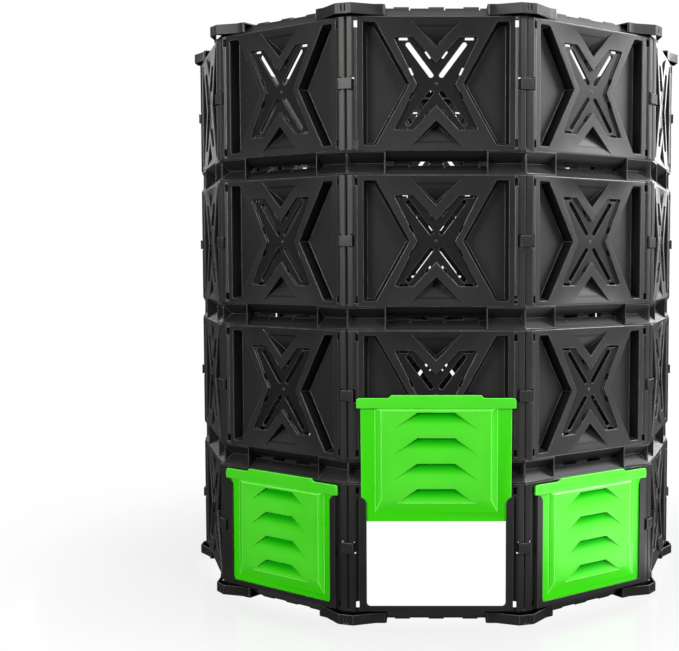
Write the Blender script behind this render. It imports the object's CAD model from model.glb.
"""Looks for the modular garden compost bin: moulded black wall panels, clips and caps, three green doors.

Metres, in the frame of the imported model: the origin is on the ground at the centre of the ring, and the
middle door faces -Y. Every CAD node stays where it is. It gets a procedural plastic and rounded edges.
"""

import math

import bmesh
import bpy
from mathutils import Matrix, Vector
from mathutils.bvhtree import BVHTree
from mathutils.kdtree import KDTree

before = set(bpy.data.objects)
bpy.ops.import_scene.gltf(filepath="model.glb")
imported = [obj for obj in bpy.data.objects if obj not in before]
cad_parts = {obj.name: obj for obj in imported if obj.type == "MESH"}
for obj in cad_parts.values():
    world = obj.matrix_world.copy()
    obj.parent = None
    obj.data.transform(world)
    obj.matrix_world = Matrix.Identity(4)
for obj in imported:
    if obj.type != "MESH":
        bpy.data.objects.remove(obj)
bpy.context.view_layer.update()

# ---- Driving dimensions ----
MM = 0.001
COLUMNS = 10
TURN = 2 * math.pi / COLUMNS
SIDE = 300 * MM
APOTHEM = SIDE / 2 / math.tan(TURN / 2)
# Behind the face of a wall panel: the side pockets and the cross-shaped inset
POCKET_DEPTH = 19 * MM
CROSS_DEPTH = 4.5 * MM
# How far the raised field of a door stands out from the face of its column
DOOR_FRONT = 10 * MM

# ---- Rounded edges ----
PANEL_EDGE = 0.7 * MM
FRAME_EDGE = 0.3 * MM
FITTING_EDGE = 0.6 * MM
DOOR_EDGE = 0.7 * MM
EDGE_SEGMENTS = 2
# Faces that meet at more than this angle get a rounded edge
SHARP_ANGLE = math.radians(28)
DOOR_SHARP_ANGLE = math.radians(15)
WELD = 0.01 * MM
SHORTEST_EDGE = 0.2 * MM
# A rounded vertex this far off the CAD surface is a spike, and corners this near its root stay sharp
SPIKE = 0.9 * MM
SPIKE_REACH = 1.2 * MM

# ---- Camera ----
SENSOR_WIDTH = 36
LENS = 57.961
SHIFT_X = -0.14246
CAMERA_PLACE = (0, -2.28218, 0.61578)
CAMERA_DOWN = math.radians(3.4527)

# ---- Linear colours ----
WHITE = (1, 1, 1, 1)
DOOR_FIELD = (0.056, 0.57, 0.014, 1), (0.070, 0.62, 0.022, 1)
DOOR_BORDER = (0.035, 0.57, 0.001, 1)
DOOR_RECESS = (0.0005, 0.21, 0.0003, 1)
DOOR_RAMP = (0.0008, 0.33, 0.0004, 1)
DOOR_RIM = (0.11, 0.74, 0.05, 1), (0.19, 0.82, 0.11, 1)


def grey(value, warmth=0.0):
    """A linear grey, made a little warmer by a positive warmth."""
    return (value * (1 + warmth), value, value * (1 - warmth), 1)


WALL = grey(0.009), grey(0.015, 0.01)
WALL_SPECK = grey(0.035)
WALL_CROSS = grey(0.006)
WALL_RECESS = grey(0.004)
FITTING = grey(0.008), grey(0.013, 0.04)
RUBBED = grey(0.028), grey(0.068)

# The stretch of a noise over which one colour turns into the other
MOTTLE = (0.3, 0.7)

# Waves in a metre of the slow warp of a moulded wall, and of its fine grain
WARP_WAVES = 7.0
GRAIN_WAVES = 850.0

# How strongly each plastic mirrors at a right angle
BLACK_SHINE = 0.30
DOOR_SHINE = 0.28


# ---- Shader building ----
class Shader:
    """Builds one node tree. Sockets are passed as they come, numbers and colours as plain values."""

    def __init__(self, owner, output):
        self.owner = owner
        owner.use_nodes = True
        self.tree = owner.node_tree
        self.tree.nodes.clear()
        self.output = self.node(output)

    def node(self, kind, inputs=(), **settings):
        made = self.tree.nodes.new("ShaderNode" + kind)
        for key, value in settings.items():
            setattr(made, key, value)
        for key, value in dict(inputs).items():
            self.put(made.inputs[key], value)
        return made

    def put(self, socket, value):
        if isinstance(value, bpy.types.NodeSocket):
            self.tree.links.new(value, socket)
        else:
            socket.default_value = value

    def math(self, operation, *values):
        return self.node("Math", enumerate(values), operation=operation).outputs[0]

    def product(self, a, b):
        return self.math("MULTIPLY", a, b)

    def blend(self, factor, a, b):
        """Colour a where factor is 0 and colour b where it is 1."""
        made = self.node("Mix", data_type="RGBA", clamp_factor=True)
        # A Mix node has a set of sockets for each data type: these are the factor and the two colours
        for socket, value in ((0, factor), (6, a), (7, b)):
            self.put(made.inputs[socket], value)
        return made.outputs[2]

    def span(self, value, low, high, to_low=0.0, to_high=1.0):
        """Maps low..high to to_low..to_high and clamps there."""
        names = {"Value": value, "From Min": low, "From Max": high, "To Min": to_low, "To Max": to_high}
        return self.node("MapRange", names, clamp=True).outputs[0]

    def parts(self, vector):
        return self.node("SeparateXYZ", {"Vector": vector}).outputs

    def place(self):
        return self.node("TexCoord").outputs["Object"]

    def noise(self, scale, detail=3.0, roughness=0.55):
        """Noise in 0..1, with scale in cycles per metre."""
        names = {"Vector": self.place(), "Scale": scale, "Detail": detail, "Roughness": roughness}
        return self.node("TexNoise", names).outputs["Fac"]

    def mottle(self, noise, colours, stretch=MOTTLE):
        """The first colour, turning into the second over a stretch of the noise."""
        return self.blend(self.span(noise, *stretch), *colours)

    def bump(self, height, distance, over=None):
        names = {"Height": height, "Distance": distance, "Strength": 1.0}
        if over is not None:
            names["Normal"] = over
        return self.node("Bump", names).outputs[0]

    def relief(self, grain, warp):
        """Fine moulded grain over the slow warp of a thin moulded wall."""
        slow = self.bump(self.noise(WARP_WAVES, detail=1.0), warp)
        return self.bump(self.noise(GRAIN_WAVES, detail=2.0, roughness=0.6), grain, over=slow)

    def mix(self, factor, a, b):
        """Surface a where factor is 0 and surface b where it is 1."""
        return self.node("MixShader", {0: factor, 1: a, 2: b}).outputs[0]

    def finish(self, surface):
        self.put(self.output.inputs["Surface"], surface)
        return self.owner

    def plastic(self, **inputs):
        names = {key.replace("_", " "): value for key, value in inputs.items()}
        return self.finish(self.node("BsdfPrincipled", names).outputs[0])


def new_material(name):
    return Shader(bpy.data.materials.new(name), "OutputMaterial")


def column_frame(s):
    """(depth, sideways, nz): how far a point lies behind its column's face, and where its surface looks.

    sideways and nz are the normal's parts along the face and upwards; sideways has no sign.
    """
    x, y, _ = s.parts(s.place())
    turned = s.math("ARCTAN2", x, s.product(y, -1.0))
    angle = s.product(s.math("ROUND", s.math("DIVIDE", turned, TURN)), TURN)
    sine = s.math("SINE", angle)
    cosine = s.math("COSINE", angle)
    outward = s.math("SUBTRACT", s.product(x, sine), s.product(y, cosine))
    nx, ny, nz = s.parts(s.node("TexCoord").outputs["Normal"])
    sideways = s.math("ADD", s.product(nx, cosine), s.product(ny, sine))
    return s.math("SUBTRACT", APOTHEM, outward), s.math("ABSOLUTE", sideways), nz


# ---- Materials ----
def panel_plastic():
    """Black recycled plastic of the wall, dull and deep black inside the recesses."""
    s = new_material("panel_plastic")
    depth, sideways, nz = column_frame(s)
    in_recess = s.product(s.span(depth, 1.2 * MM, 3 * MM),
                          s.span(depth, POCKET_DEPTH, POCKET_DEPTH - 1.5 * MM))
    # The upright walls of the pockets, the steep faces of the wedges and the floor of the cross
    walls = s.product(in_recess, s.span(sideways, 0.35, 0.75))
    steep = s.span(s.math("ABSOLUTE", nz), 0.2, 0.35)
    wedge = s.product(s.product(in_recess, steep), s.span(depth, 6 * MM, 16 * MM))
    cross = s.product(s.span(depth, CROSS_DEPTH - 1.1 * MM, CROSS_DEPTH - 0.3 * MM),
                      s.span(depth, CROSS_DEPTH + 1.1 * MM, CROSS_DEPTH + 0.3 * MM))
    cloud = s.noise(5.0, detail=4.0)
    speck = s.noise(420.0, detail=2.0)
    base = s.mottle(cloud, WALL)
    base = s.blend(s.span(speck, 0.62, 0.78, 0.0, 0.3), base, WALL_SPECK)
    base = s.blend(cross, base, WALL_CROSS)
    base = s.blend(s.math("MAXIMUM", walls, wedge), base, WALL_RECESS)
    rough = s.math("ADD", s.span(cloud, 0.25, 0.75, 0.35, 0.47), s.span(speck, 0.4, 0.7, 0.0, 0.06))
    rough = s.math("ADD", rough, s.product(walls, 0.3))
    shine = BLACK_SHINE
    for zone, loss in ((walls, 0.16), (cross, 0.10), (wedge, 0.12)):
        shine = s.math("SUBTRACT", shine, s.product(zone, loss))
    return s.plastic(Base_Color=base, Roughness=rough, Specular_IOR_Level=shine,
                     Normal=s.relief(grain=0.05 * MM, warp=0.5 * MM))


def fitting_plastic():
    """Slightly smoother black plastic of the caps, shoes, connectors and clips."""
    s = new_material("fitting_plastic")
    cloud = s.noise(11.0, detail=4.0)
    return s.plastic(Base_Color=s.mottle(cloud, FITTING), Roughness=s.span(cloud, 0.25, 0.75, 0.36, 0.48),
                     Specular_IOR_Level=BLACK_SHINE, Normal=s.relief(grain=0.04 * MM, warp=0.3 * MM))


def edge_plastic():
    """Moulded edges of the black plastic, rubbed a little lighter and smoother."""
    s = new_material("edge_plastic")
    rub = s.noise(60.0, detail=4.0)
    base = s.mottle(rub, RUBBED, (0.35, 0.65))
    return s.plastic(Base_Color=base, Roughness=s.span(rub, *MOTTLE, 0.28, 0.40),
                     Normal=s.relief(grain=0.03 * MM, warp=0.2 * MM))


def door_plastic():
    """Bright green plastic of the sliding doors, darker with depth behind the raised field."""
    s = new_material("door_plastic")
    depth, _, nz = column_frame(s)
    behind = s.math("ADD", depth, DOOR_FRONT)
    base = s.mottle(s.noise(9.0), DOOR_FIELD)
    base = s.blend(s.span(behind, 0.3 * MM, 3.6 * MM), base, DOOR_BORDER)
    deep = s.span(behind, 4.2 * MM, 5.2 * MM)
    base = s.blend(deep, base, DOOR_RECESS)
    # The ramps of the louvres are the faces that lean back a little
    ramp = s.product(s.span(nz, 0.06, 0.12), s.span(nz, 0.45, 0.36))
    shade = s.product(ramp, s.span(behind, 1.9 * MM, 4.2 * MM))
    base = s.blend(shade, base, DOOR_RAMP)
    rough = s.span(s.noise(40.0), *MOTTLE, 0.30, 0.40)
    shine = s.math("SUBTRACT", DOOR_SHINE, s.product(s.math("MAXIMUM", deep, shade), 0.23))
    return s.plastic(Base_Color=base, Roughness=rough, Specular_IOR_Level=shine,
                     Normal=s.relief(grain=0.02 * MM, warp=0.35 * MM))


def door_edge_plastic():
    """Edges of the green doors, a touch lighter where they are handled."""
    s = new_material("door_edge_plastic")
    rub = s.noise(70.0)
    return s.plastic(Base_Color=s.mottle(rub, DOOR_RIM), Roughness=s.span(rub, *MOTTLE, 0.26, 0.34),
                     Normal=s.relief(grain=0.02 * MM, warp=0.2 * MM))


# ---- Finishing the CAD nodes ----
class Moulding:
    """A CAD node whose sharp edges are rounded by modifiers. Its own vertices and faces stay as they are."""

    def __init__(self, piece, surface, edge, radius, sharp=SHARP_ANGLE):
        self.piece = piece
        mesh = piece.data
        for name in ("custom_normal", "sharp_edge"):
            if name in mesh.attributes:
                mesh.attributes.remove(mesh.attributes[name])
        mesh.materials.clear()
        mesh.materials.append(surface)
        mesh.materials.append(edge)
        mesh.polygons.foreach_set("material_index", [0] * len(mesh.polygons))
        mesh.shade_smooth()
        faces = [tuple(p.vertices) for p in mesh.polygons]
        self.skin = BVHTree.FromPolygons([v.co for v in mesh.vertices], faces)
        self.find_sharp_edges(sharp)
        mesh.attributes.new("bevel_weight_edge", "FLOAT", "EDGE")
        self.write_weights()
        piece.modifiers.new("weld", "WELD").merge_threshold = WELD
        bevel = piece.modifiers.new("moulded_edges", "BEVEL")
        bevel.width = radius
        bevel.segments = EDGE_SEGMENTS
        bevel.limit_method = "WEIGHT"
        bevel.use_clamp_overlap = False
        bevel.loop_slide = False
        bevel.material = 1
        piece.modifiers.new("even_shading", "WEIGHTED_NORMAL")

    def find_sharp_edges(self, sharp):
        """Keeps the sharp edges as pairs of corners. A corner stands for all the vertices at one place."""
        mesh = self.piece.data
        work = bmesh.new()
        work.from_mesh(mesh)
        bmesh.ops.remove_doubles(work, verts=work.verts, dist=WELD)
        work.verts.index_update()
        self.places = KDTree(len(work.verts))
        for v in work.verts:
            self.places.insert(v.co, v.index)
        self.places.balance()
        self.sharp = {frozenset(v.index for v in e.verts) for e in work.edges
                      if len(e.link_faces) == 2 and e.calc_face_angle() > sharp
                      and e.calc_length() > SHORTEST_EDGE}
        work.free()
        home = [self.places.find(v.co)[1] for v in mesh.vertices]
        self.pairs = [frozenset(home[v] for v in e.vertices) for e in mesh.edges]

    def write_weights(self):
        weights = self.piece.data.attributes["bevel_weight_edge"]
        weights.data.foreach_set("value", [float(pair in self.sharp) for pair in self.pairs])
        self.piece.data.update()

    def blunt_spikes(self, graph):
        """Leaves edges sharp where rounding throws a vertex off the CAD surface. True if there were any."""
        rounded = self.piece.evaluated_get(graph).to_mesh()
        places = [v.co.copy() for v in rounded.vertices]
        off = [self.skin.find_nearest(p)[3] > SPIKE for p in places]
        ends = [tuple(e.vertices) for e in rounded.edges]
        roots = [places[b if off[a] else a] for a, b in ends if off[a] != off[b]]
        near = {found[1] for root in roots for found in self.places.find_range(root, SPIKE_REACH)}
        self.piece.evaluated_get(graph).to_mesh_clear()
        before = len(self.sharp)
        self.sharp = {pair for pair in self.sharp if not pair & near}
        self.write_weights()
        return len(self.sharp) < before


def dress_nodes():
    """Gives each CAD node its plastic and its rounded edges, by how its name starts."""
    panel, fitting, edge = panel_plastic(), fitting_plastic(), edge_plastic()
    door, door_edge = door_plastic(), door_edge_plastic()
    looks = (("door_frame", (panel, edge, FRAME_EDGE)),
             ("door_", (door, door_edge, DOOR_EDGE, DOOR_SHARP_ANGLE)),
             ("wall_panel", (panel, edge, PANEL_EDGE)),
             ("", (fitting, edge, FITTING_EDGE)))
    mouldings = []
    for name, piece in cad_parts.items():
        look = next(look for start, look in looks if name.startswith(start))
        mouldings.append(Moulding(piece, *look))
    # An edge left sharp changes how its neighbours are rounded, so this goes on until no spike is left
    while mouldings:
        graph = bpy.context.evaluated_depsgraph_get()
        mouldings = [m for m in mouldings if m.blunt_spikes(graph)]


# ---- Studio ----
def add_to_scene(name, data):
    made = bpy.data.objects.new(name, data)
    bpy.context.scene.collection.objects.link(made)
    return made


def make_camera():
    data = bpy.data.cameras.new("camera")
    data.sensor_width = SENSOR_WIDTH
    data.lens = LENS
    data.shift_x = SHIFT_X
    camera = add_to_scene("camera", data)
    camera.location = CAMERA_PLACE
    camera.rotation_euler = (math.pi / 2 - CAMERA_DOWN, 0, 0)
    bpy.context.scene.camera = camera


def softbox(name, place, target, size, power, tint=(1, 1, 1), seen=True):
    """A rectangular light at place that faces target, with its size in metres and its power in watts."""
    data = bpy.data.lights.new(name, "AREA")
    data.shape = "RECTANGLE"
    data.size, data.size_y = size
    data.energy = power
    data.color = tint
    light = add_to_scene(name, data)
    light.location = place
    light.rotation_euler = (Vector(target) - light.location).to_track_quat("-Z", "Y").to_euler()
    light.visible_camera = seen


def make_lights():
    softbox("key", (2.3, -2.6, 2.8), (0.1, 0, 0.7), (1.2, 1.2), 110)
    softbox("right_wall", (3.0, -0.3, 1.7), (0, 0, 0.8), (1.3, 1.7), 88)
    softbox("right_back", (2.4, 2.2, 1.5), (0.2, 0, 0.7), (1.2, 1.4), 58)
    softbox("overhead", (0, -0.4, 3.4), (0, 0, 1), (2.4, 2.4), 30)
    softbox("left_fill", (-2.1, -2.7, 1.6), (0, 0, 0.5), (1.2, 1.4), 92, tint=(1, 0.975, 0.94))
    softbox("left_back", (-2.2, 2.2, 1.5), (0, 0, 0.8), (1.2, 1.2), 9)
    softbox("right_high", (2.4, -0.1, 2.4), (0.3, -0.4, 0.85), (0.9, 0.9), 60)
    softbox("right_rim", (1.2, 0.95, 2.5), (0.3, -0.4, 1.0), (0.9, 0.9), 10)
    # Stands for the light that the floor throws back up, and is hidden from the camera
    softbox("right_floor", (0.95, -0.6, 0.01), (0.95, -0.6, 1.0), (0.9, 0.9), 9.5, seen=False)
    softbox("front_low", (0.4, -3.0, 0.15), (0, -0.4, 0.1), (1.6, 0.3), 3)


def make_world():
    """A white studio to the camera; the plastic gets a dimmer one, darkest just below the horizon."""
    s = Shader(bpy.data.worlds.new("studio"), "OutputWorld")
    z = s.parts(s.node("TexCoord").outputs["Generated"])["Z"]
    rise = s.span(z, -0.35, 0.45, 0.06, 0.35)
    ground = s.span(z, -0.5, -0.85, 0.0, 0.22)
    seen = s.node("Background", {"Color": WHITE, "Strength": 1.0}).outputs[0]
    lit = s.node("Background", {"Color": WHITE, "Strength": s.math("ADD", rise, ground)}).outputs[0]
    to_camera = s.node("LightPath").outputs["Is Camera Ray"]
    bpy.context.scene.world = s.finish(s.mix(to_camera, lit, seen))


def make_floor():
    """A pale floor that carries a faint shadow and mirror image and fades into the white studio."""
    s = new_material("pale_floor")
    x, y, _ = s.parts(s.place())
    away = s.math("POWER", s.math("ADD", s.math("POWER", x, 2.0), s.math("POWER", y, 2.0)), 0.5)
    # Inside the ring the floor is plain white
    outside = s.span(away, 0.42, 0.50)
    dim = s.product(outside, s.span(away, 1.15, 0.55, 0.0, 0.05))
    glow = s.node("Emission", {"Color": WHITE, "Strength": s.math("SUBTRACT", 1.0, dim)}).outputs[0]
    matt = s.node("BsdfDiffuse", {"Color": grey(0.9)}).outputs[0]
    shaded = s.product(outside, s.span(away, 3.0, 0.5, 0.0, 0.05))
    shine = s.node("BsdfGlossy", {"Color": grey(0.95), "Roughness": 0.12}).outputs[0]
    polish = s.product(outside, s.span(away, 0.90, 0.50, 0.0, 0.11))
    paper = s.finish(s.mix(polish, s.mix(shaded, glow, matt), shine))
    half = 14.0
    corners = [(x * half, y * half, 0) for x, y in ((-1, -1), (1, -1), (1, 1), (-1, 1))]
    mesh = bpy.data.meshes.new("floor")
    mesh.from_pydata(corners, [], [(0, 1, 2, 3)])
    mesh.materials.append(paper)
    floor = add_to_scene("floor", mesh)
    # Its glow neither lights the plastic nor shows in its reflections
    floor.visible_diffuse = False
    floor.visible_glossy = False


dress_nodes()
make_floor()
make_world()
make_lights()
make_camera()
bpy.context.scene.view_settings.view_transform = "Standard"
